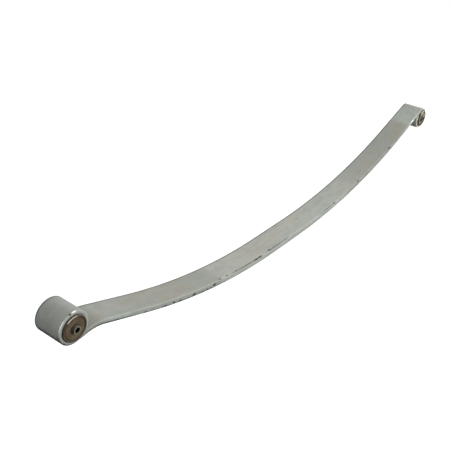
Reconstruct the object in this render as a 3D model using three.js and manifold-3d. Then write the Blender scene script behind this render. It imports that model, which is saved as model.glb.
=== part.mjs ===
// Single-leaf rear spring of a light van: one tapered spring-steel leaf with an eye rolled at each
// end, and a rubber bush (outer sleeve, rubber, inner sleeve) pressed into each eye.
// Millimetres, +Z up, +X towards the rear eye, +Y across the leaf. The origin is the centre of the
// flat lower face of the axle seat. The real leaf is one piece: here it is cut on the two hinge
// lines of the three-link model of a leaf spring, so that its arms can flex.
import * as THREE from "three";
import { mergeVertices } from "three/addons/utils/BufferGeometryUtils.js";
import Module from "manifold-3d";

const wasm = await Module();
wasm.setup();

// Leaf
const LEAF_WIDTH = 70;
const SEAT_HALF = 60; // half the length of the flat axle seat
const SEAT_THICKNESS = 17;
const EDGE_ROUND = 1.5;

// Each arm: its free camber in degrees and as a radius to the middle of the thickness, the
// straight after it, the bend ahead of the eye (down is negative), the thickness where the taper
// ends, the eye that the end is rolled into, and the hinge line a quarter of the way along.
const FRONT = {
  side: -1,
  camber: 18.6,
  camberRadius: 1570,
  straight: 124,
  bend: -30.7,
  bendRadius: 105,
  thinning: 19,
  endThickness: 11,
  eyeWall: 8,
  eyeBore: 29.5,
  curl: 316, // rolled upwards, over the bush
  tipSteps: 2,
  hingeFromSeat: 177,
};
const REAR = {
  side: 1,
  camber: 19.9,
  camberRadius: 1760,
  straight: 129.5,
  bend: 0,
  bendRadius: 0,
  thinning: 19,
  endThickness: 9,
  eyeWall: 7.2,
  eyeBore: 27,
  curl: -310, // rolled downwards, under the bush
  tipSteps: 2,
  hingeFromSeat: 190,
};
const CAMBER_STEPS = 10;
const BEND_STEPS = 5;
const CURL_STEPS = 40;

// Hinge lines that let the arms flex
const HINGE_GAP = 0.3;
const LIP_TRIM = 3;

// Bushes
const FIT_GAP = 0.3; // between pieces that touch on the real spring
// Each bush: the lengths of its two sleeves.
const FRONT_BUSH = { outerLength: 79, innerLength: 90 };
const REAR_BUSH = { outerLength: 78, innerLength: 86 };
const SLEEVE_WALL = 2.5;
const SLEEVE_LIP = 0.5; // how far the outer sleeve stands beyond the rubber
const INNER_SLEEVE_RADIUS = 9;
const BOLT_BORE_RADIUS = 6;
const RUBBER_RECESS = 2.5; // depth of the ring groove in each rubber face
const ROUND_STEPS = 48;

const PAINT = { color: 0x989d92, roughness: 0.45, metalness: 0.1 };
const RUSTY_STEEL = { color: 0x6b5442, roughness: 0.8, metalness: 0.4 };
const RUBBER = { color: 0x4a3a2e, roughness: 0.9, metalness: 0 };
const PLATED_STEEL = { color: 0x9a958a, roughness: 0.45, metalness: 0.8 };

const { clamp, degToRad, lerp } = THREE.MathUtils;

// ---- Solids ----

function solidOf(geometry) {
  const bare = geometry.clone();
  bare.deleteAttribute("normal");
  bare.deleteAttribute("uv");
  const merged = mergeVertices(bare, 1e-4);
  return new wasm.Manifold(
    new wasm.Mesh({
      numProp: 3,
      vertProperties: merged.attributes.position.array,
      triVerts: new Uint32Array(merged.index.array),
    }),
  );
}

function geometryOf(solid) {
  const { vertProperties, triVerts } = solid.getMesh();
  const indexed = new THREE.BufferGeometry();
  indexed.setAttribute("position", new THREE.BufferAttribute(vertProperties, 3));
  indexed.setIndex(new THREE.BufferAttribute(triVerts, 1));
  const flat = indexed.toNonIndexed();
  flat.computeVertexNormals();
  return flat;
}

function named(name, geometry, finish) {
  const mesh = new THREE.Mesh(geometry, new THREE.MeshStandardMaterial(finish));
  mesh.name = name;
  return mesh;
}

// ---- The leaf's middle line ----

const SEAT_EDGE = { x: SEAT_HALF, z: SEAT_THICKNESS / 2, heading: 0, run: 0 };

// Where a walk of `distance` that turns evenly by `turn` radians ends.
function walk(from, distance, turn) {
  const heading = from.heading + turn;
  const along = distance * (turn ? Math.sin(turn / 2) / (turn / 2) : 1);
  const chord = from.heading + turn / 2;
  return {
    x: from.x + along * Math.cos(chord),
    z: from.z + along * Math.sin(chord),
    heading,
    run: from.run + distance,
  };
}

// The arm's thickness falls with the square root of the distance, as on a parabolic spring,
// then thins quickly to the wall of the eye.
function thicknessAt(run, arm) {
  const taper = clamp(run / taperLength(arm), 0, 1);
  const parabolic = Math.sqrt(lerp(SEAT_THICKNESS ** 2, arm.endThickness ** 2, taper));
  const thin = clamp((run - taperLength(arm)) / arm.thinning, 0, 1);
  return lerp(parabolic, arm.eyeWall, thin);
}

function taperLength(arm) {
  const bendLength = arm.bendRadius * Math.abs(degToRad(arm.bend));
  return arm.camberRadius * degToRad(arm.camber) + arm.straight + bendLength;
}

// Stations from the edge of the seat to the tip of the eye, in the arm's own plane with x
// growing away from the seat.
function stationsOf(arm) {
  const curlRadius = arm.eyeBore + arm.eyeWall / 2;
  const curlStep = degToRad(arm.curl) / CURL_STEPS;
  const runs = [
    [arm.camberRadius * degToRad(arm.camber), degToRad(arm.camber), CAMBER_STEPS],
    [arm.straight, 0, 3],
    [arm.bendRadius * Math.abs(degToRad(arm.bend)), degToRad(arm.bend), arm.bend ? BEND_STEPS : 0],
    [arm.thinning, 0, 1],
    [curlRadius * Math.abs(curlStep) * CURL_STEPS, curlStep * CURL_STEPS, CURL_STEPS],
    [curlRadius * Math.abs(curlStep) * arm.tipSteps, curlStep * arm.tipSteps, arm.tipSteps],
  ];
  const stations = [SEAT_EDGE];
  for (const [distance, turn, steps] of runs) {
    for (let i = 0; i < steps; i++) {
      stations.push(walk(stations.at(-1), distance / steps, turn / steps));
    }
  }
  return stations;
}

// The two edges of the arm's side view. The tip is cut on a slant, so the outside of the curl
// stops a few steps before its inside.
function edgesOf(arm) {
  const edge = (station, offset) =>
    new THREE.Vector2(
      arm.side * (station.x - offset * Math.sin(station.heading)),
      station.z + offset * Math.cos(station.heading),
    );
  const stations = stationsOf(arm);
  const outerCount = stations.length - arm.tipSteps;
  const half = (station) => thicknessAt(station.run, arm) / 2;
  const curlsUp = arm.curl > 0;
  const upper = curlsUp ? stations : stations.slice(0, outerCount);
  const lower = curlsUp ? stations.slice(0, outerCount) : stations;
  return {
    upper: upper.map((station) => edge(station, half(station))),
    lower: lower.map((station) => edge(station, -half(station))),
  };
}

function eyeCentre(arm) {
  const curlStart = stationsOf(arm).at(-1 - CURL_STEPS - arm.tipSteps);
  const towardsCentre = Math.sign(arm.curl) * (arm.eyeBore + arm.eyeWall / 2);
  return new THREE.Vector3(
    arm.side * (curlStart.x - towardsCentre * Math.sin(curlStart.heading)),
    0,
    curlStart.z + towardsCentre * Math.cos(curlStart.heading),
  );
}

function hingeOf(arm) {
  const station = walk(SEAT_EDGE, arm.hingeFromSeat, arm.hingeFromSeat / arm.camberRadius);
  return {
    centre: new THREE.Vector3(arm.side * station.x, 0, station.z),
    slope: arm.side * station.heading,
    side: arm.side,
    radius: thicknessAt(station.run, arm) / 2,
  };
}

// ---- The leaf ----

function wholeLeaf() {
  const front = edgesOf(FRONT);
  const rear = edgesOf(REAR);
  const outline = [
    ...front.lower.toReversed(),
    ...rear.lower,
    ...rear.upper.toReversed(),
    ...front.upper,
  ];
  const geometry = new THREE.ExtrudeGeometry(new THREE.Shape(outline), {
    depth: LEAF_WIDTH - 2 * EDGE_ROUND,
    bevelThickness: EDGE_ROUND,
    bevelSize: EDGE_ROUND,
    bevelOffset: -EDGE_ROUND,
    bevelSegments: 2,
  });
  geometry.rotateX(Math.PI / 2);
  geometry.translate(0, LEAF_WIDTH / 2 - EDGE_ROUND, 0);
  return solidOf(geometry);
}

// Everything beyond the hinge line, away from the seat, moved outwards by `shift`.
function beyondHinge(hinge, shift) {
  const size = 2000;
  const box = new THREE.BoxGeometry(size, size, size);
  box.translate(hinge.side * (size / 2 + shift), 0, 0);
  box.rotateY(-hinge.slope);
  box.translate(hinge.centre.x, 0, hinge.centre.z);
  return solidOf(box);
}

function knuckle(hinge, extra) {
  const radius = hinge.radius + extra;
  const cylinder = new THREE.CylinderGeometry(radius, radius, 2 * LEAF_WIDTH, ROUND_STEPS);
  cylinder.translate(hinge.centre.x, 0, hinge.centre.z);
  return solidOf(cylinder);
}

function leafPieces() {
  const leaf = wholeLeaf();
  const hinges = [hingeOf(FRONT), hingeOf(REAR)];
  const [frontArm, rearArm] = hinges.map((hinge) =>
    leaf.intersect(beyondHinge(hinge, 0).add(knuckle(hinge, 0))),
  );
  const centre = hinges.reduce(
    (rest, hinge) =>
      rest.subtract(beyondHinge(hinge, -LIP_TRIM)).subtract(knuckle(hinge, HINGE_GAP)),
    leaf,
  );
  return [
    named("leaf_centre", geometryOf(centre), PAINT),
    named("leaf_front_arm", geometryOf(frontArm), PAINT),
    named("leaf_rear_arm", geometryOf(rearArm), PAINT),
  ];
}

// ---- The bushes, each about its own Y axis ----

// A ring from `inner` to `outer` radius, `length` long, with each corner broken by `corner`.
function ring(inner, outer, length, corner) {
  const half = length / 2;
  const profile = [
    [inner, -half + corner],
    [inner + corner, -half],
    [outer - corner, -half],
    [outer, -half + corner],
    [outer, half - corner],
    [outer - corner, half],
    [inner + corner, half],
    [inner, half - corner],
    [inner, -half + corner],
  ];
  return lathe(profile);
}

function lathe(profile) {
  const points = profile.map(([radius, along]) => new THREE.Vector2(radius, along));
  return new THREE.LatheGeometry(points, ROUND_STEPS);
}

// The rubber bulges at the inner sleeve and has a ring groove in each face.
function rubberRing(inner, outer, halfLength) {
  const middle = (inner + outer) / 2;
  const face = (sign) => [
    [inner, sign * (halfLength + 1)],
    [inner + 3, sign * (halfLength + 0.5)],
    [middle, sign * (halfLength - RUBBER_RECESS)],
    [outer - 3, sign * (halfLength - 0.8)],
    [outer, sign * (halfLength - 1.5)],
  ];
  return lathe([...face(-1), ...face(1).toReversed(), face(-1)[0]]);
}

function bush(name, arm, { outerLength, innerLength }) {
  const outerRadius = arm.eyeBore - FIT_GAP;
  const rubberOuter = outerRadius - SLEEVE_WALL - FIT_GAP;
  const rubberInner = INNER_SLEEVE_RADIUS + FIT_GAP;
  const rubberHalf = outerLength / 2 - SLEEVE_LIP;
  const group = new THREE.Group();
  group.position.copy(eyeCentre(arm));
  group.add(
    named(
      `${name}_bush_outer_sleeve`,
      ring(outerRadius - SLEEVE_WALL, outerRadius, outerLength, 0.7),
      RUSTY_STEEL,
    ),
    named(`${name}_bush_rubber`, rubberRing(rubberInner, rubberOuter, rubberHalf), RUBBER),
    named(
      `${name}_bush_inner_sleeve`,
      ring(BOLT_BORE_RADIUS, INNER_SLEEVE_RADIUS, innerLength, 0.5),
      PLATED_STEEL,
    ),
  );
  return group;
}

const spring = new THREE.Group();
spring.add(
  ...leafPieces(),
  bush("front", FRONT, FRONT_BUSH),
  bush("rear", REAR, REAR_BUSH),
);

export default spring;
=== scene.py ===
"""The looks of a single-leaf rear spring with a rubber bush in each eye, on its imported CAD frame.

Metres, +Z up, +X towards the rear eye. The camera stands on the -Y side, so that side is "near".
"""

from math import ceil, copysign, cos, hypot, pi, radians, sin, sqrt, tau

import bmesh
import bpy
from mathutils import Matrix, Vector


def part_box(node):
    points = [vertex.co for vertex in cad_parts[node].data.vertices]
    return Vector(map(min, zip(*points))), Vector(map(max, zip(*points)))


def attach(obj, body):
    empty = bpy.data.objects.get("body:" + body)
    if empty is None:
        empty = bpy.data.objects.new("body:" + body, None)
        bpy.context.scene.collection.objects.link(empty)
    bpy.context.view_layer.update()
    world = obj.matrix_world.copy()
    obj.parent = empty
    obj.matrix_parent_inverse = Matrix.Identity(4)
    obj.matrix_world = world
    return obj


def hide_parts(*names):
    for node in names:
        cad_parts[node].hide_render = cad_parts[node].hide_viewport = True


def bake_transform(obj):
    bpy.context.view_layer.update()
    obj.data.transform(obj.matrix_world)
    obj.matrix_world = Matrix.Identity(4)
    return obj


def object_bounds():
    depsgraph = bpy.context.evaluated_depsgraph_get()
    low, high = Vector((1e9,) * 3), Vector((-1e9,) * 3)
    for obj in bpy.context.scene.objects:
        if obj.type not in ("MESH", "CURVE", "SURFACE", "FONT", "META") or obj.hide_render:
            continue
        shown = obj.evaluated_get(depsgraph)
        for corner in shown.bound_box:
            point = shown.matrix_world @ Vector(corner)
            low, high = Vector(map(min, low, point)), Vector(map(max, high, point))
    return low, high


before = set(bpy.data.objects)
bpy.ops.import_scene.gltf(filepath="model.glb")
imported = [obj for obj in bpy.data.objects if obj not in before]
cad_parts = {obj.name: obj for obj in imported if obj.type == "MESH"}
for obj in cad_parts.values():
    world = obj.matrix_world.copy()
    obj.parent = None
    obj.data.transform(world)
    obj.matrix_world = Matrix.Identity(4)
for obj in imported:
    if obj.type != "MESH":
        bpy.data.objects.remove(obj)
cad_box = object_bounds()

MM = 0.001


# ---- Camera, lights and floor ----

AIM = Vector((-0.1091, 0.1003, 0.0516))
AZIMUTH, ELEVATION, ROLL = radians(-53.80), radians(30.74), radians(3.58)
DISTANCE = 1.9367
LENS = 57.13

LIT_POINT = Vector((0, 0, 0.1))  # what every light faces
SKY_STRENGTH = 0.29
FLOOR_GLOW = 0.93
FLOOR_DROP = 0.1  # how far below the seat the floor lies, clear of the eyes when the arms flatten
SWEEP_RADIUS = 30
SWEEP_STEPS = 32  # round each ring of the sweep
RING_RISE = 10  # degrees from one ring of the sweep up to the next


def loop_faces(first, second, count):
    """Quads between two closed loops of `count` vertices that start at those indices."""
    return [
        (first + i, first + (i + 1) % count, second + (i + 1) % count, second + i)
        for i in range(count)
    ]


def looking_at(aim, azimuth, elevation, distance):
    """Where an eye stands, and how it is turned, to look at aim. Azimuth 0 is the near side."""
    level = cos(elevation)
    back = Vector((sin(azimuth) * level, -cos(azimuth) * level, sin(elevation)))
    turn = (-back).to_track_quat("-Z", "Y").to_matrix()
    return aim + back * distance, turn


def make_camera():
    camera = bpy.data.objects.new("camera", bpy.data.cameras.new("camera"))
    camera.data.lens = LENS
    place, turn = looking_at(AIM, AZIMUTH, ELEVATION, DISTANCE)
    turn = turn @ Matrix.Rotation(ROLL, 3, "Z")
    camera.matrix_world = Matrix.Translation(place) @ turn.to_4x4()
    bpy.context.scene.collection.objects.link(camera)
    bpy.context.scene.camera = camera


def make_world():
    """An even white sky, and colours shown as they are."""
    world = bpy.data.worlds.new("studio")
    world.use_nodes = True
    background = world.node_tree.nodes["Background"]
    background.inputs["Color"].default_value = (1, 1, 1, 1)
    background.inputs["Strength"].default_value = SKY_STRENGTH
    bpy.context.scene.world = world
    bpy.context.scene.view_settings.view_transform = "Standard"


def paper_material():
    """Pale paper whose own glow keeps it even."""
    paper = bpy.data.materials.new("paper")
    paper.use_nodes = True
    shader = paper.node_tree.nodes["Principled BSDF"]
    shader.inputs["Base Color"].default_value = (0.2, 0.2, 0.2, 1)
    shader.inputs["Roughness"].default_value = 0.9
    shader.inputs["Specular IOR Level"].default_value = 0
    shader.inputs["Emission Color"].default_value = (1, 1, 1, 1)
    shader.inputs["Emission Strength"].default_value = FLOOR_GLOW
    return paper


def make_floor():
    """A round floor that turns up into a dome, and neither lights nor shades the object."""
    below = cad_box[0].z - FLOOR_DROP
    around = [tau * i / SWEEP_STEPS for i in range(SWEEP_STEPS)]
    verts, faces = [(0, 0, below)], []
    for height in range(0, 91, RING_RISE):
        reach, rise = SWEEP_RADIUS * cos(radians(height)), SWEEP_RADIUS * sin(radians(height))
        verts += [(reach * cos(a), reach * sin(a), below + rise) for a in around]
        first = len(verts) - SWEEP_STEPS
        if height == 0:
            faces += [(0, first + i, first + (i + 1) % SWEEP_STEPS) for i in range(SWEEP_STEPS)]
        else:
            faces += loop_faces(first - SWEEP_STEPS, first, SWEEP_STEPS)
    mesh = bpy.data.meshes.new("floor")
    mesh.from_pydata(verts, [], faces)
    mesh.materials.append(paper_material())
    sweep = bpy.data.objects.new("floor", mesh)
    sweep.visible_diffuse = sweep.visible_glossy = False
    sweep.visible_shadow = False
    bpy.context.scene.collection.objects.link(sweep)


def softbox(name, azimuth, elevation, watts, distance=2.5, size=(1.4, 1.4)):
    light = bpy.data.lights.new(name, "AREA")
    light.shape = "RECTANGLE"
    light.size, light.size_y = size
    light.energy = watts
    lamp = bpy.data.objects.new(name, light)
    place, turn = looking_at(LIT_POINT, radians(azimuth), radians(elevation), distance)
    lamp.matrix_world = Matrix.Translation(place) @ turn.to_4x4()
    bpy.context.scene.collection.objects.link(lamp)


def make_lights():
    softbox("right", azimuth=76, elevation=20, watts=80)
    softbox("front", azimuth=-4, elevation=12, watts=62, distance=3, size=(1.4, 1))
    softbox("overhead", azimuth=-30, elevation=82, watts=8.5, distance=1.2, size=(1.1, 1))
    softbox("left", azimuth=-50, elevation=50, watts=14)
    softbox("far_left", azimuth=-100, elevation=20, watts=10)
    softbox("behind", azimuth=150, elevation=20, watts=6)


make_camera()
make_world()
make_floor()
make_lights()


# ---- Shader building ----

BAND_EASE = 20  # how far, in mm, a band fades each side of both its ends


class Shader:
    """A material with a Principled shader, and short calls for the nodes that feed it."""

    def __init__(self, name):
        self.material = bpy.data.materials.new(name)
        self.material.use_nodes = True
        self.tree = self.material.node_tree
        self.principled = self.tree.nodes["Principled BSDF"]

    def node(self, kind, **settings):
        made = self.tree.nodes.new("ShaderNode" + kind)
        for key, value in settings.items():
            setattr(made, key, value)
        return made

    def feed(self, socket, value):
        """Links the socket to another socket, or sets its constant. None leaves it alone."""
        if isinstance(value, bpy.types.NodeSocket):
            self.tree.links.new(value, socket)
        elif value is not None:
            socket.default_value = value

    def attribute(self, name):
        return self.node("Attribute", attribute_name=name).outputs["Vector"]

    def noise(self, vector, scale, detail=4, roughness=0.55):
        """Noise with about that many patches to the metre."""
        made = self.node("TexNoise")
        self.feed(made.inputs["Vector"], vector)
        self.feed(made.inputs["Scale"], scale)
        self.feed(made.inputs["Detail"], detail)
        self.feed(made.inputs["Roughness"], roughness)
        return made.outputs["Fac"]

    def parts(self, vector):
        """The vector's outputs "X", "Y" and "Z"."""
        made = self.node("SeparateXYZ")
        self.feed(made.inputs[0], vector)
        return made.outputs

    def stretched(self, vector, scale):
        """The vector scaled each way, so that what follows it is longer where the scale is low."""
        made = self.node("Mapping")
        self.feed(made.inputs["Vector"], vector)
        self.feed(made.inputs["Scale"], scale)
        return made.outputs["Vector"]

    def math(self, operation, first, second=None, third=None):
        made = self.node("Math", operation=operation)
        for socket, value in zip(made.inputs, (first, second, third)):
            self.feed(socket, value)
        return made.outputs[0]

    def ramp(self, value, low, high, start=0, end=1):
        """value from low to high becomes start to end, eased and held at both ends."""
        made = self.node("MapRange", interpolation_type="SMOOTHSTEP")
        for key, number in zip(
            ("Value", "From Min", "From Max", "To Min", "To Max"),
            (value, low, high, start, end),
        ):
            self.feed(made.inputs[key], number)
        return made.outputs["Result"]

    def bands(self, run, bands):
        """The strength of each (start, end, strength) band inside it, in mm, and 0 between them."""
        total = 0
        for start, end, strength in bands:
            rise = self.ramp(run, (start - BAND_EASE) * MM, (start + BAND_EASE) * MM, 0, strength)
            fall = self.ramp(run, (end - BAND_EASE) * MM, (end + BAND_EASE) * MM, 1, 0)
            total = self.math("MULTIPLY_ADD", rise, fall, total)
        return total

    def nearest(self, place, marks):
        """How far place is from the nearest mark, where 1 is that mark's own outline."""
        least = None
        for middle, size in marks:
            offset = self.node("VectorMath", operation="SUBTRACT")
            self.feed(offset.inputs[0], place)
            self.feed(offset.inputs[1], (middle[0] * MM, middle[1] * MM, middle[2]))
            scaled = self.node("VectorMath", operation="DIVIDE")
            self.feed(scaled.inputs[0], offset.outputs["Vector"])
            self.feed(scaled.inputs[1], (size[0] * MM, size[1] * MM, size[2]))
            length = self.node("VectorMath", operation="LENGTH")
            self.feed(length.inputs[0], scaled.outputs["Vector"])
            distance = length.outputs["Value"]
            least = self.math("MINIMUM", least, distance) if least else distance
        return least

    def mix(self, amount, first, second):
        """One colour where amount is 0 and the other where it is 1."""
        made = self.node("Mix", data_type="RGBA", clamp_factor=True)
        self.feed(made.inputs["Factor"], amount)
        # This node's sockets share their names: 6 and 7 are its colours, and output 2 their mix.
        self.feed(made.inputs[6], first)
        self.feed(made.inputs[7], second)
        return made.outputs[2]

    def over(self, colour, second, amount, factor):
        """The colour with the second one over it, as much as amount times factor."""
        return self.mix(self.math("MULTIPLY", amount, factor), colour, second)

    def bump(self, height, distance, strength=1, normal=None):
        """The surface's normal over that height, on top of an earlier bump's normal if given."""
        made = self.node("Bump")
        self.feed(made.inputs["Height"], height)
        self.feed(made.inputs["Distance"], distance)
        self.feed(made.inputs["Strength"], strength)
        self.feed(made.inputs["Normal"], normal)
        return made.outputs["Normal"]

    def finish(self, colour, roughness, normal, metallic=0, **constants):
        self.feed(self.principled.inputs["Base Color"], colour)
        self.feed(self.principled.inputs["Roughness"], roughness)
        self.feed(self.principled.inputs["Normal"], normal)
        self.feed(self.principled.inputs["Metallic"], metallic)
        for key, value in constants.items():
            self.feed(self.principled.inputs[key.replace("_", " ")], value)
        return self.material


# ---- Mesh building ----

CREASE_ANGLE = radians(35)


def piece(name, verts, faces, material, attributes):
    """A closed, smooth-shaded mesh with creases.

    Its points keep their place at rest and the attributes, each of which is a list of vectors.
    """
    mesh = bpy.data.meshes.new(name)
    mesh.from_pydata(verts, [], faces)
    turned = bmesh.new()
    turned.from_mesh(mesh)
    bmesh.ops.recalc_face_normals(turned, faces=turned.faces)
    turned.to_mesh(mesh)
    turned.free()
    for key, values in dict(attributes, rest=verts).items():
        stored = mesh.attributes.new(key, "FLOAT_VECTOR", "POINT")
        stored.data.foreach_set("vector", [c for value in values for c in value])
    mesh.polygons.foreach_set("use_smooth", [True] * len(mesh.polygons))
    mesh.set_sharp_from_angle(angle=CREASE_ANGLE)
    mesh.materials.append(material)
    made = bpy.data.objects.new(name, mesh)
    bpy.context.scene.collection.objects.link(made)
    return made


# ---- The leaf's shape ----

LEAF_WIDTH = 70 * MM
SEAT_HALF = 60 * MM
SEAT_THICKNESS = 17 * MM
THINNING = 19 * MM  # from the end of the taper to the curl, where the leaf goes to the eye's wall
TIP_SHARE = 1 / 20  # of the curl, by which its inside runs on further than its outside
BEND_REACH = 170 * MM  # each side of a hinge line; leaf_half finds the middle-line points there and leaves them unused

CORNER = 1.8 * MM
CORNER_SHARE = 0.8  # the most of the half thickness that a corner's radius takes
SIDE_BULGE = 0.35 * MM
CORNER_STEPS = 5
FACE_STEPS = 6  # across each half of the top and the bottom

SEAT_STEPS = 10
LONGEST_STEP = 7 * MM
LARGEST_TURN = radians(3)  # from one cross-section to the next
TIP_STEPS = 4  # round the edge of the tip


class Arm:
    """One arm of the leaf, walked from the edge of the seat to the tip of its eye.

    x grows away from the seat here, whichever way the arm points. The arm goes through a camber, a
    straight, a bend, the thinning and the curl. camber and bend are (degrees, radius), curl is in
    degrees, and all three are positive where they turn upwards. hinge is the run to the hinge line.
    """

    def __init__(self, side, camber, straight, bend, taper_end, eye_wall, eye_radius, curl, hinge):
        self.side, self.curl_up, self.hinge = side, curl > 0, hinge
        self.taper_end, self.eye_wall = taper_end, eye_wall
        (camber_turn, camber_radius), (bend_turn, bend_radius) = camber, bend
        curl_radius = eye_radius + eye_wall / 2
        tip = abs(curl) * TIP_SHARE
        self.legs = [
            (camber_radius * radians(camber_turn), radians(camber_turn)),
            (straight, 0),
            (bend_radius * radians(abs(bend_turn)), radians(bend_turn)),
            (THINNING, 0),
            (curl_radius * radians(abs(curl) + tip), radians(curl + copysign(tip, curl))),
        ]
        self.tip = curl_radius * radians(tip)
        self.taper = sum(length for length, turn in self.legs[:3])
        self.length = sum(length for length, turn in self.legs)

    def station(self, run):
        """(x, z, heading) of the middle line, `run` along the arm from the edge of the seat."""
        x, z, heading = SEAT_HALF, SEAT_THICKNESS / 2, 0
        if run < 0:
            return x + run, z, heading
        for length, turn in self.legs:
            step = min(run, length)
            turned = turn * step / length if length else 0
            chord = step * (sin(turned / 2) / (turned / 2) if turned else 1)
            x += chord * cos(heading + turned / 2)
            z += chord * sin(heading + turned / 2)
            heading += turned
            run -= step
            if run <= 0:
                break
        return x, z, heading

    def half_thickness(self, run):
        """The taper is parabolic: the square of the thickness falls evenly along it."""
        taper = min(max(run / self.taper, 0), 1)
        thick, thin = SEAT_THICKNESS**2, self.taper_end**2
        parabolic = sqrt(thick + (thin - thick) * taper)
        fade = min(max((run - self.taper) / THINNING, 0), 1)
        return (parabolic + (self.eye_wall - parabolic) * fade) / 2

    def point(self, run, across, up):
        x, z, heading = self.station(run)
        return Vector((self.side * (x - up * sin(heading)), across, z + up * cos(heading)))

    def runs(self):
        """Where the mesh has its cross-sections, closer together where the arm curves more."""
        found = [-SEAT_HALF + SEAT_HALF * i / SEAT_STEPS for i in range(SEAT_STEPS)]
        start = 0
        for length, turn in self.legs:
            steps = ceil(max(length / LONGEST_STEP, abs(turn) / LARGEST_TURN))
            found += [start + length * i / steps for i in range(steps)]
            start += length
        return found


FRONT = Arm(
    side=-1,
    camber=(18.6, 1570 * MM),
    straight=124 * MM,
    bend=(-30.7, 105 * MM),
    taper_end=11 * MM,
    eye_wall=8 * MM,
    eye_radius=29.5 * MM,
    curl=316,
    hinge=177 * MM,
)
REAR = Arm(
    side=1,
    camber=(19.9, 1760 * MM),
    straight=129.5 * MM,
    bend=(0, 0),
    taper_end=9 * MM,
    eye_wall=7.2 * MM,
    eye_radius=27 * MM,
    curl=-310,
    hinge=190 * MM,
)


def cross_section(half_thickness):
    """(across, up) points round the leaf: flat faces, soft corners and slightly bulged sides."""
    corner = min(CORNER, half_thickness * CORNER_SHARE)
    half_width = LEAF_WIDTH / 2
    flat, tall = half_width - corner, half_thickness - corner
    quarter = [pi / 2 * i / CORNER_STEPS for i in range(CORNER_STEPS + 1)]
    rounded = [(flat + corner * cos(a), tall + corner * sin(a)) for a in quarter]
    top = [(flat * (1 - i / FACE_STEPS), half_thickness) for i in range(1, FACE_STEPS + 1)]
    bottom = [(x, -y) for x, y in reversed(rounded + top)]
    side = [(half_width, tall * share) for share in (-0.5, 0, 0.5)]
    right = bottom + side + rounded + top
    left = [(-x, y) for x, y in right[-2:0:-1]]
    bulged = []
    for across, up in right + left:
        beyond = max(abs(across) - flat, 0) / corner
        pulled_in = SIDE_BULGE * beyond * (up / half_thickness) ** 2
        bulged.append((across - copysign(pulled_in, across), up))
    return bulged


def leaf_half(name, arm, material):
    """Half of the leaf, from the middle of the seat to the tip of one eye, as one closed mesh.

    Its "leaf" attribute is (run from the middle of the seat, across, up), with the run negative
    towards the front, and "up" from -1 on the bottom face to 1 on the top face.
    """
    verts, places, rings = [], [], []

    def add_ring(run, slant, shrink=0.0):
        half = arm.half_thickness(run)
        rings.append(len(verts))
        for across, up in cross_section(half):
            outward = (1 - up / half if arm.curl_up else 1 + up / half) / 2
            at = run - outward * slant
            across -= copysign(min(shrink, abs(across)), across)
            up -= copysign(min(shrink, abs(up)), up)
            verts.append(arm.point(at, across, up))
            places.append(Vector((arm.side * (at + SEAT_HALF), across, up / half)))

    lean_over = 3 * arm.tip  # the length over which the cross-sections lean to the tip's slant
    for run in arm.runs():
        add_ring(run, slant=arm.tip * max(0, 1 - (arm.length - run) / lean_over))
    rounding = CORNER * CORNER_SHARE
    for step in range(TIP_STEPS + 1):
        angle = pi / 2 * step / TIP_STEPS
        run = arm.length - rounding * (1 - sin(angle))
        add_ring(run, slant=arm.tip, shrink=rounding * (1 - cos(angle)))
    count = rings[1] - rings[0]
    faces = []
    for first, second in zip(rings, rings[1:]):
        faces += loop_faces(first, second, count)
    faces.append(tuple(reversed(range(count))))
    faces.append(tuple(range(rings[-1], rings[-1] + count)))
    made = piece(name, verts, faces, material, {"leaf": places})
    start = arm.point(arm.hinge - BEND_REACH, 0, 0)
    end = arm.point(arm.hinge + BEND_REACH, 0, 0)
    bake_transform(made)
    return made


# ---- The leaf's paint ----

WARM_GREY = (0.246, 0.239, 0.206, 1)
COOL_GREY = (0.224, 0.243, 0.220, 1)
# The side faces' grey is lighter than the top's: painted light.
LIT_SIDE_GREY = (0.262, 0.290, 0.262, 1)
FRONT_GREEN = (0.221, 0.238, 0.215, 1)
REAR_END_GREEN = (0.262, 0.292, 0.256, 1)
DUST_AND_SHADE = (0.16, 0.155, 0.13, 1)
PIT_AND_SHADE = (0.09, 0.095, 0.085, 1)
PAINTED_SHADE_GREY = (0.035, 0.038, 0.033, 1)
BARE_STEEL = (0.045, 0.05, 0.045, 1)
BRIGHT_STEEL_AND_GLINT = (0.68, 0.69, 0.66, 1)
PALE_GREY = (0.34, 0.345, 0.31, 1)
CREAM_HIGHLIGHT = (0.62, 0.60, 0.52, 1)

# The places below are in the terms of the "leaf" attribute, with runs and widths in mm.
# Each mark is (run, across, up) of its middle, then how far it reaches each way from there.
# Chips, through to the steel.
CHIPS = (
    ((-570, -35, -0.6), (7, 2.5, 0.3)),
    ((-505, -35, -0.6), (11, 2.5, 0.35)),
    ((-475, -35, -0.2), (5, 2.5, 0.35)),
    ((-452, -35, -0.5), (6, 2.5, 0.4)),
    ((-400, -35, -0.1), (6, 2.5, 0.5)),
    ((-366, -35, -0.7), (5, 2.5, 0.4)),
    ((-350, -35, -0.4), (4, 2.5, 0.35)),
    ((-337, -35, -0.5), (4, 2.5, 0.35)),
    ((-323, -35, 0.1), (6, 2.5, 0.45)),
    ((-300, -32, 1.0), (4, 2.5, 0.4)),
    ((-272, -32.5, 1.0), (5, 2.2, 0.4)),
    ((-233, -33, 1.0), (4, 2, 0.4)),
    ((-146, -34, 1.0), (14, 2, 0.4)),
    ((-128, -34, 1.0), (8, 2.6, 0.4)),
    ((-84, -32, 1.0), (6, 2.6, 0.4)),
    ((252, -33.5, 1.0), (6, 2, 0.4)),
    ((395, -33, 1.0), (5, 2.2, 0.4)),
    ((597, -33, 1.0), (7, 2.4, 0.4)),
    ((-875, -35, -0.9), (3, 3, 0.5)),
    ((-250, 35, 0.5), (8, 2.5, 0.3)),
    ((180, 35, -0.4), (10, 2.5, 0.3)),
    ((520, 35, 0.6), (7, 2.5, 0.3)),
    ((60, 12, -1.0), (9, 5, 0.3)),
    ((-420, -14, -1.0), (12, 4, 0.3)),
)
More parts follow.
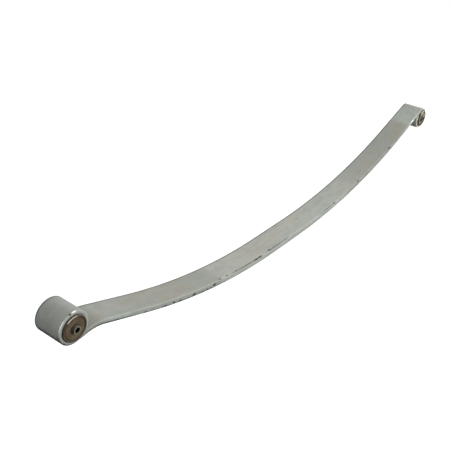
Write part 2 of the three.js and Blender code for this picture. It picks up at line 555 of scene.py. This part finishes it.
# Long scuffs rubbed along the edges.
SCUFFS = (
    ((-190, -33.6, 1.0), (75, 1.3, 0.35)),
    ((-45, -33, 1.0), (55, 1.5, 0.4)),
    ((213, -33.6, 1.0), (42, 1, 0.35)),
    ((-430, -35, -1.0), (200, 3, 0.45)),
    ((-640, -35, -1.0), (60, 3, 0.5)),
)
# Areas peppered with small chips.
PEPPERED = (
    ((-455, -35, -0.3), (150, 4, 0.9)),
    ((-270, -33, 1.0), (60, 3, 0.5)),
)
# Spots worn down to metal and coloured near white: wear with a painted highlight.
BARE_AND_GLINTING = (
    ((-884, -34.4, -1.0), (5, 2, 0.5)),
    ((-850, -34.4, -1.0), (12, 0.8, 0.4)),
    ((754, -34.4, 1.0), (9, 1.6, 0.5)),
)
# Areas under painted shade, dark under the front eye and along its near lower edge.
SHADED_AREAS = (
    ((-800, 0, -1.0), (26, 80, 1.2)),
    ((-800, -35, -1.0), (32, 16, 0.8)),
    ((-700, -35, -1.0), (110, 5, 0.9)),
)
# (start, end, strength) of lengths of the leaf coloured paler or duller, with dust and painted
# shade.
PALE_BANDS = ((-280, 380, 0.28),)
# The dull band from -765 to -690 is painted shadow of the front eye on the leaf's top.
DUST_AND_SHADE_BANDS = ((-765, -690, 0.5), (-600, -290, 0.25), (430, 725, 0.18), (825, 895, 0.45))
FRONT_BANDS = ((-1200, -700, 0.8),)
# Painted shade on the sides of the rear arm.
SHADED_SIDE_BANDS = ((330, 730, 0.5),)

REAR_END_FROM = 737 * MM  # from here to the rear tip the paint is lighter and greener
REAR_END_EASE = 14 * MM
CREAM_HIGHLIGHT_FROM = 893 * MM  # the last of the rear curl, whose side face is coloured cream as a painted highlight
CREAM_HIGHLIGHT_EASE = 20 * MM
BAND_WANDER = 24 * MM  # how unevenly the bands begin and end
SIDE_FROM = LEAF_WIDTH / 2 - 2.5 * MM
FAR_EDGE_FROM = LEAF_WIDTH / 2 - 6 * MM
FAR_EDGE_FULL = LEAF_WIDTH / 2 - 4 * MM
ALONG_LEAF = (0.35, 1, 1)  # draws a pattern out along the leaf


def coat(paint, rest, along, place, on_side):
    """The colour of the paint, with painted light and shade, by where along the leaf it is and on
    which face.
    """
    cloud = paint.ramp(paint.noise(along, 22, detail=5), 0.4, 0.6)
    broad = paint.mix(cloud, WARM_GREY, COOL_GREY)
    # Painted light: the side faces take a lighter grey.
    colour = paint.mix(on_side, broad, LIT_SIDE_GREY)

    wander = paint.math("MULTIPLY", paint.noise(rest, 40, detail=3), BAND_WANDER)
    run = paint.math("ADD", place["X"], wander)
    rear_end = paint.ramp(run, REAR_END_FROM, REAR_END_FROM + REAR_END_EASE)
    colour = paint.mix(rear_end, colour, REAR_END_GREEN)
    off_side = paint.ramp(on_side, 0, 1, 1, 0)
    colour = paint.over(colour, FRONT_GREEN, paint.bands(run, FRONT_BANDS), off_side)
    colour = paint.mix(paint.bands(run, PALE_BANDS), colour, PALE_GREY)
    # Dust and painted shade dull these bands, the front eye's painted shadow among them.
    colour = paint.mix(paint.bands(run, DUST_AND_SHADE_BANDS), colour, DUST_AND_SHADE)
    # Painted shade darkens the sides of the rear arm.
    colour = paint.over(colour, DUST_AND_SHADE, on_side, paint.bands(run, SHADED_SIDE_BANDS))
    # A painted highlight: the side face at the rear curl's end is cream.
    lit_rim = paint.ramp(run, CREAM_HIGHLIGHT_FROM, CREAM_HIGHLIGHT_FROM + CREAM_HIGHLIGHT_EASE)
    colour = paint.over(colour, CREAM_HIGHLIGHT, lit_rim, on_side)

    smudge = paint.ramp(paint.noise(along, 60, detail=5, roughness=0.65), 0.42, 0.66)
    colour = paint.over(colour, DUST_AND_SHADE, smudge, 0.3)
    speckle = paint.ramp(paint.noise(rest, 900, detail=2), 0.55, 0.72)
    colour = paint.over(colour, PIT_AND_SHADE, speckle, 0.3)
    # A painted shade: a dark line along the far edge.
    far_edge = paint.ramp(place["Y"], FAR_EDGE_FROM, FAR_EDGE_FULL)
    return paint.over(colour, PIT_AND_SHADE, far_edge, 0.85)


def wear(paint, rest, leaf):
    """How worn, how darkened by painted shade and how bright each point is, with edges made ragged
    by noise.
    """
    ragged = paint.math("MULTIPLY_ADD", paint.noise(rest, 330, detail=3, roughness=0.7), 1.6, -0.8)
    chip_field = paint.math("ADD", paint.nearest(leaf, CHIPS), ragged)
    chipped = paint.ramp(chip_field, 0.85, 1.05, 1, 0)
    peppered = paint.ramp(paint.nearest(leaf, PEPPERED), 0.5, 1.1, 0.66, 0.85)
    spots = paint.noise(rest, 210, detail=2, roughness=0.5)
    spotted = paint.ramp(paint.math("SUBTRACT", spots, peppered), -0.03, 0.02)
    chipped = paint.math("MAXIMUM", chipped, spotted)
    scuff_field = paint.math("ADD", paint.nearest(leaf, SCUFFS), ragged)
    scuffed = paint.ramp(scuff_field, 0.7, 1.25, 0.85, 0)
    worn = paint.math("MAXIMUM", chipped, scuffed)

    shade_field = paint.math("MULTIPLY_ADD", ragged, 0.4, paint.nearest(leaf, SHADED_AREAS))
    painted_shade = paint.ramp(shade_field, 0.6, 1.1, 0.95, 0)
    bright_field = paint.math("ADD", paint.nearest(leaf, BARE_AND_GLINTING), ragged)
    bright = paint.ramp(bright_field, 0.7, 1.2, 0.9, 0)
    return worn, painted_shade, bright


def leaf_paint():
    """Satin grey-green paint over peened steel, chipped and rubbed to dark steel at the edges."""
    paint = Shader("leaf_paint")
    rest = paint.attribute("rest")
    leaf = paint.attribute("leaf")
    along = paint.stretched(rest, ALONG_LEAF)
    place = paint.parts(leaf)
    sideways = paint.math("ABSOLUTE", place["Y"])
    on_side = paint.ramp(sideways, SIDE_FROM, LEAF_WIDTH / 2)

    worn, painted_shade, bright = wear(paint, rest, leaf)
    colour = coat(paint, rest, along, place, on_side)
    # Painted shade under the front eye and along its near lower edge.
    colour = paint.mix(painted_shade, colour, PAINTED_SHADE_GREY)
    colour = paint.mix(worn, colour, BARE_STEEL)
    # Painted highlight: the worn spots are coloured near white.
    colour = paint.mix(bright, colour, BRIGHT_STEEL_AND_GLINT)

    peen = paint.noise(rest, 750, detail=2)
    ripple = paint.noise(along, 60, detail=3)
    normal = paint.bump(peen, 0.1 * MM, strength=0.45)
    normal = paint.bump(ripple, 0.5 * MM, strength=0.25, normal=normal)
    normal = paint.bump(worn, -0.25 * MM, strength=0.8, normal=normal)
    satin = paint.ramp(paint.noise(along, 30), 0.3, 0.7, 0.48, 0.64)
    satin = paint.math("MULTIPLY_ADD", on_side, 0.22, satin)
    satin = paint.math("MULTIPLY_ADD", painted_shade, 0.4, satin)
    roughness = paint.math("MULTIPLY_ADD", bright, -0.25, satin)
    metallic = paint.math("MULTIPLY", worn, 0.5)
    return paint.finish(colour, roughness, normal, metallic, Specular_IOR_Level=0.35)


paint = leaf_paint()
front_leaf = leaf_half("front_leaf", FRONT, paint)
rear_leaf = leaf_half("rear_leaf", REAR, paint)
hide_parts("leaf_centre", "leaf_front_arm")
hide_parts("leaf_centre", "leaf_rear_arm")


# ---- The shapes of the bushes ----

TURN_STEPS = 128
BOLT_BORE_RADIUS = 6 * MM
SLEEVE_WALL = 2.5 * MM
OUTER_ROUNDING, INNER_ROUNDING = 1.1 * MM, 0.5 * MM  # of the rims of the two sleeves
ROUNDING_STEPS = 4
RUBBER_STEPS = 40
GROOVE_INSET, GROOVE_HALF, GROOVE_DEPTH = 2 * MM, 1.2 * MM, 1.2 * MM
DIP_REACH, DIP_DEPTH = 3 * MM, 0.9 * MM
CROWN = 0.5 * MM
BOND_GAP = 0.1 * MM  # keeps the rubber's facets off the inner sleeve as that turns
SEATING = 0.8 * MM  # how far the rubber sits back inside the lip of its sleeve
HIGHLIGHT_FACING = radians(78)  # how high above the forward direction each sleeve's lip gets a painted highlight


class Bush:
    """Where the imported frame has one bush: its centre, radii and half lengths."""

    def __init__(self, end):
        self.end = end
        low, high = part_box(end + "_bush_outer_sleeve")
        self.centre = (low + high) / 2
        self.outer_radius, self.outer_half = (high.x - low.x) / 2, high.y
        self.bore_radius = self.outer_radius - SLEEVE_WALL
        low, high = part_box(end + "_bush_inner_sleeve")
        self.inner_radius, self.inner_half = (high.x - low.x) / 2, high.y

    def turn(self, radius, angle, y):
        c = self.centre
        return Vector((c.x + radius * cos(angle), y, c.z + radius * sin(angle)))

    def ring(self, place):
        """(radius, distance from the middle plane, facing): 1 faces the way of the painted
        highlight, -1 away.
        """
        ahead, above = self.centre.x - place.x, place.z - self.centre.z
        radius = hypot(ahead, above)
        facing = (ahead * cos(HIGHLIGHT_FACING) + above * sin(HIGHLIGHT_FACING)) / radius
        return Vector((radius, abs(place.y), facing))


def lathe(name, bush, profile, material, body):
    """A ring turned about the bush's axis from a closed loop of (radius, y) points."""
    verts, faces = [], []
    for step in range(TURN_STEPS):
        verts += [bush.turn(radius, tau * step / TURN_STEPS, y) for radius, y in profile]
        following = (step + 1) % TURN_STEPS
        faces += loop_faces(step * len(profile), following * len(profile), len(profile))
    made = piece(name, verts, faces, material, {"ring": [bush.ring(v) for v in verts]})
    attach(made, body)
    return made


def tube_profile(inner, outer, half_length, rounding):
    """The wall of a tube with rounded rims."""
    ends = half_length - rounding
    corners = (
        (outer - rounding, ends),
        (inner + rounding, ends),
        (inner + rounding, -ends),
        (outer - rounding, -ends),
    )
    profile = []
    for quarter, (radius, y) in enumerate(corners):
        for step in range(ROUNDING_STEPS + 1):
            angle = pi / 2 * (quarter + step / ROUNDING_STEPS)
            profile.append((radius + rounding * cos(angle), y + rounding * sin(angle)))
    return profile


def rubber_profile(inner, outer, half_length):
    """Rubber with a groove in each face next to the outer sleeve, and a dip at the inner one."""

    def face(radius):
        groove = max(0, 1 - ((outer - radius - GROOVE_INSET) / GROOVE_HALF) ** 2)
        dip = max(0, 1 - (radius - inner) / DIP_REACH) ** 2
        crown = sin(pi * (radius - inner) / (outer - inner))
        return half_length + CROWN * crown - GROOVE_DEPTH * groove - DIP_DEPTH * dip - CROWN

    radii = [inner + (outer - inner) * i / RUBBER_STEPS for i in range(RUBBER_STEPS + 1)]
    far = [(radius, face(radius)) for radius in radii]
    return far + [(radius, -y) for radius, y in reversed(far)]


# ---- The materials of the bushes ----

DULL_ZINC = (0.19, 0.18, 0.15, 1)
YELLOWED_AND_HIGHLIGHT = (0.46, 0.42, 0.33, 1)
RUST = (0.075, 0.04, 0.022, 1)
DARK_RUST_AND_SHADE = (0.045, 0.032, 0.02, 1)
OLIVE = (0.024, 0.023, 0.013, 1)
BORE_SHADE = (0.004, 0.004, 0.003, 1)
OLIVE_SHADE = (0.095, 0.088, 0.045, 1)
DARK_DUST = (0.045, 0.030, 0.018, 1)
BROWN_DUST = (0.088, 0.061, 0.035, 1)
TAN_DUST = (0.30, 0.275, 0.215, 1)
TAN_SHADE = (0.07, 0.056, 0.038, 1)
PALE_DUST = (0.18, 0.155, 0.105, 1)

# Each pair is where a finish, painted shade or painted highlight starts and where it is full.
LIP_FROM, LIP_FULL = 1 * MM, 0.4 * MM  # in from the end of the outer sleeve
GROOVE_SHADE_FROM, GROOVE_SHADE_FULL = 3.6 * MM, 2.4 * MM  # in from the rubber's rim
DIP_SHADE_FROM, DIP_SHADE_FULL = 15 * MM, 10 * MM  # from the bush's axis
WALL_RUST_AND_SHADE_FROM, WALL_RUST_AND_SHADE_FULL = 0.6 * MM, 0.2 * MM  # in from the inner sleeve's outside
BORE_SHADE_FROM, BORE_SHADE_FULL = 0.6 * MM, 0.25 * MM  # out from the wall of the bolt bore
TURNING_MARKS = (0.1, 3, 0.1)  # draws a pattern out into rings round the sleeve


def sleeve_steel(bush, tarnish, rust):
    """Steel tube dark with tarnish and rust, with a painted highlight where its lip faces up and
    forward.
    """
    steel = Shader(bush.end + "_sleeve_steel")
    rest = steel.attribute("rest")
    ring = steel.parts(steel.attribute("ring"))
    patch = steel.noise(rest, 110, detail=8, roughness=0.7)
    colour = steel.mix(steel.ramp(patch, 0.4, 0.62), tarnish, rust)
    pale = steel.ramp(steel.noise(rest, 420, roughness=0.7), 0.56, 0.72)
    colour = steel.over(colour, YELLOWED_AND_HIGHLIGHT, pale, 0.25)
    facing = steel.math("MULTIPLY_ADD", patch, 0.12, ring["Z"])
    lip = steel.ramp(ring["Y"], bush.outer_half - LIP_FROM, bush.outer_half - LIP_FULL)
    # A painted highlight on the lip where it faces up and forward.
    lip_highlight = steel.math("MULTIPLY", steel.ramp(facing, 0.93, 1.0), lip)
    colour = steel.over(colour, YELLOWED_AND_HIGHLIGHT, lip_highlight, 0.85)
    normal = steel.bump(patch, 0.3 * MM, strength=0.4)
    normal = steel.bump(steel.noise(rest, 1200), 0.06 * MM, strength=0.4, normal=normal)
    roughness = steel.math("MULTIPLY_ADD", lip_highlight, -0.25, 0.68)
    metallic = steel.math("MULTIPLY", lip_highlight, 0.4)
    return steel.finish(colour, roughness, normal, metallic)


def bush_rubber(bush, shade, dust):
    """Old rubber under patchy dust, with painted shade in the groove at its rim, in the dip at its
    middle and where it faces down and back.
    """
    rubber = Shader(bush.end + "_dusty_rubber")
    rest = rubber.attribute("rest")
    ring = rubber.parts(rubber.attribute("ring"))
    patch = rubber.noise(rest, 95, detail=7, roughness=0.72)
    colour = rubber.mix(rubber.ramp(patch, 0.4, 0.6), shade, dust)
    fleck = rubber.ramp(rubber.noise(rest, 420, roughness=0.7), 0.46, 0.7)
    colour = rubber.over(colour, PALE_DUST, fleck, 0.4)
    red = rubber.ramp(rubber.noise(rest, 38), 0.5, 0.75)
    colour = rubber.over(colour, RUST, red, 0.4)
    # Painted shade: olive on the rubber's side that faces down and back.
    away_from_light = rubber.math("MULTIPLY_ADD", patch, 0.8, ring["Z"])
    colour = rubber.mix(rubber.ramp(away_from_light, -0.6, 0.3, 0.6, 0), colour, OLIVE_SHADE)
    rim = bush.bore_radius
    # Painted shade in the groove at the rubber's rim.
    groove = rubber.ramp(ring["X"], rim - GROOVE_SHADE_FROM, rim - GROOVE_SHADE_FULL)
    colour = rubber.over(colour, DARK_RUST_AND_SHADE, groove, 0.75)
    # Painted shade in the dip round the inner sleeve.
    dip = rubber.ramp(ring["X"], DIP_SHADE_FULL, DIP_SHADE_FROM, 0.75, 0)
    colour = rubber.mix(dip, colour, DARK_RUST_AND_SHADE)
    normal = rubber.bump(patch, 0.5 * MM, strength=0.5)
    normal = rubber.bump(rubber.noise(rest, 900), 0.1 * MM, strength=0.5, normal=normal)
    roughness = rubber.ramp(patch, 0.3, 0.7, 0.72, 0.9)
    return rubber.finish(colour, roughness, normal, Specular_IOR_Level=0.25)


def plated_steel(outside):
    """The inner sleeves, of that outside radius: dull zinc plate, its outside darkened by rust and
    painted shade, and the bore near black with painted shade.
    """
    steel = Shader("plated_steel")
    rest = steel.attribute("rest")
    radius = steel.parts(steel.attribute("ring"))["X"]
    blotch = steel.ramp(steel.noise(rest, 160, detail=5, roughness=0.6), 0.4, 0.75)
    colour = steel.over(DULL_ZINC, YELLOWED_AND_HIGHLIGHT, blotch, 0.4)
    grime = steel.ramp(steel.noise(rest, 320, roughness=0.7), 0.5, 0.7)
    colour = steel.over(colour, DARK_RUST_AND_SHADE, grime, 0.6)
    # Rust and painted shade darken the inner sleeve's outside.
    on_wall = steel.ramp(radius, outside - WALL_RUST_AND_SHADE_FROM, outside - WALL_RUST_AND_SHADE_FULL, 0, 0.75)
    colour = steel.mix(on_wall, colour, DARK_RUST_AND_SHADE)
    # Painted shade: the bore is coloured near black.
    full, clean = BOLT_BORE_RADIUS + BORE_SHADE_FULL, BOLT_BORE_RADIUS + BORE_SHADE_FROM
    in_bore = steel.ramp(radius, full, clean, 1, 0)
    colour = steel.mix(in_bore, colour, BORE_SHADE)
    turned = steel.noise(steel.stretched(rest, TURNING_MARKS), 900, detail=2)
    normal = steel.bump(turned, 0.06 * MM, strength=0.35)
    roughness = steel.ramp(grime, 0, 1, 0.42, 0.62)
    metallic = steel.math("MULTIPLY_ADD", in_bore, -0.5, 0.5)
    return steel.finish(colour, roughness, normal, metallic)


def make_bush(bush, sleeve, rubber, plate):
    """The outer sleeve and the rubber ride on the arm, and the inner sleeve on a body of its own.
    """
    arm, inner_body = bush.end + "_arm", bush.end + "_inner_sleeve"
    wall = tube_profile(bush.bore_radius, bush.outer_radius, bush.outer_half, OUTER_ROUNDING)
    outer_sleeve = lathe(bush.end + "_outer_sleeve", bush, wall, sleeve, arm)
    bonded, half_length = bush.inner_radius + BOND_GAP, bush.outer_half - SEATING
    filling = rubber_profile(bonded, bush.bore_radius, half_length)
    ring = lathe(bush.end + "_rubber", bush, filling, rubber, arm)
    wall = tube_profile(BOLT_BORE_RADIUS, bush.inner_radius, bush.inner_half, INNER_ROUNDING)
    inner_sleeve = lathe(bush.end + "_inner_tube", bush, wall, plate, inner_body)
    for made, node, slot in (
        (outer_sleeve, "outer_sleeve", "sleeve_steel"),
        (ring, "rubber", "bush_rubber"),
        (inner_sleeve, "inner_sleeve", "plated_steel"),
    ):
        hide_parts(bush.end + "_bush_" + node)


front_bush, rear_bush = Bush("front"), Bush("rear")
plate = plated_steel(front_bush.inner_radius)
for bush, tarnish, rust, shade, dust in (
    (front_bush, OLIVE, RUST, DARK_DUST, BROWN_DUST),
    (rear_bush, OLIVE, DARK_DUST, TAN_SHADE, TAN_DUST),
):
    sleeve = sleeve_steel(bush, tarnish, rust)
    make_bush(bush, sleeve, bush_rubber(bush, shade, dust), plate)
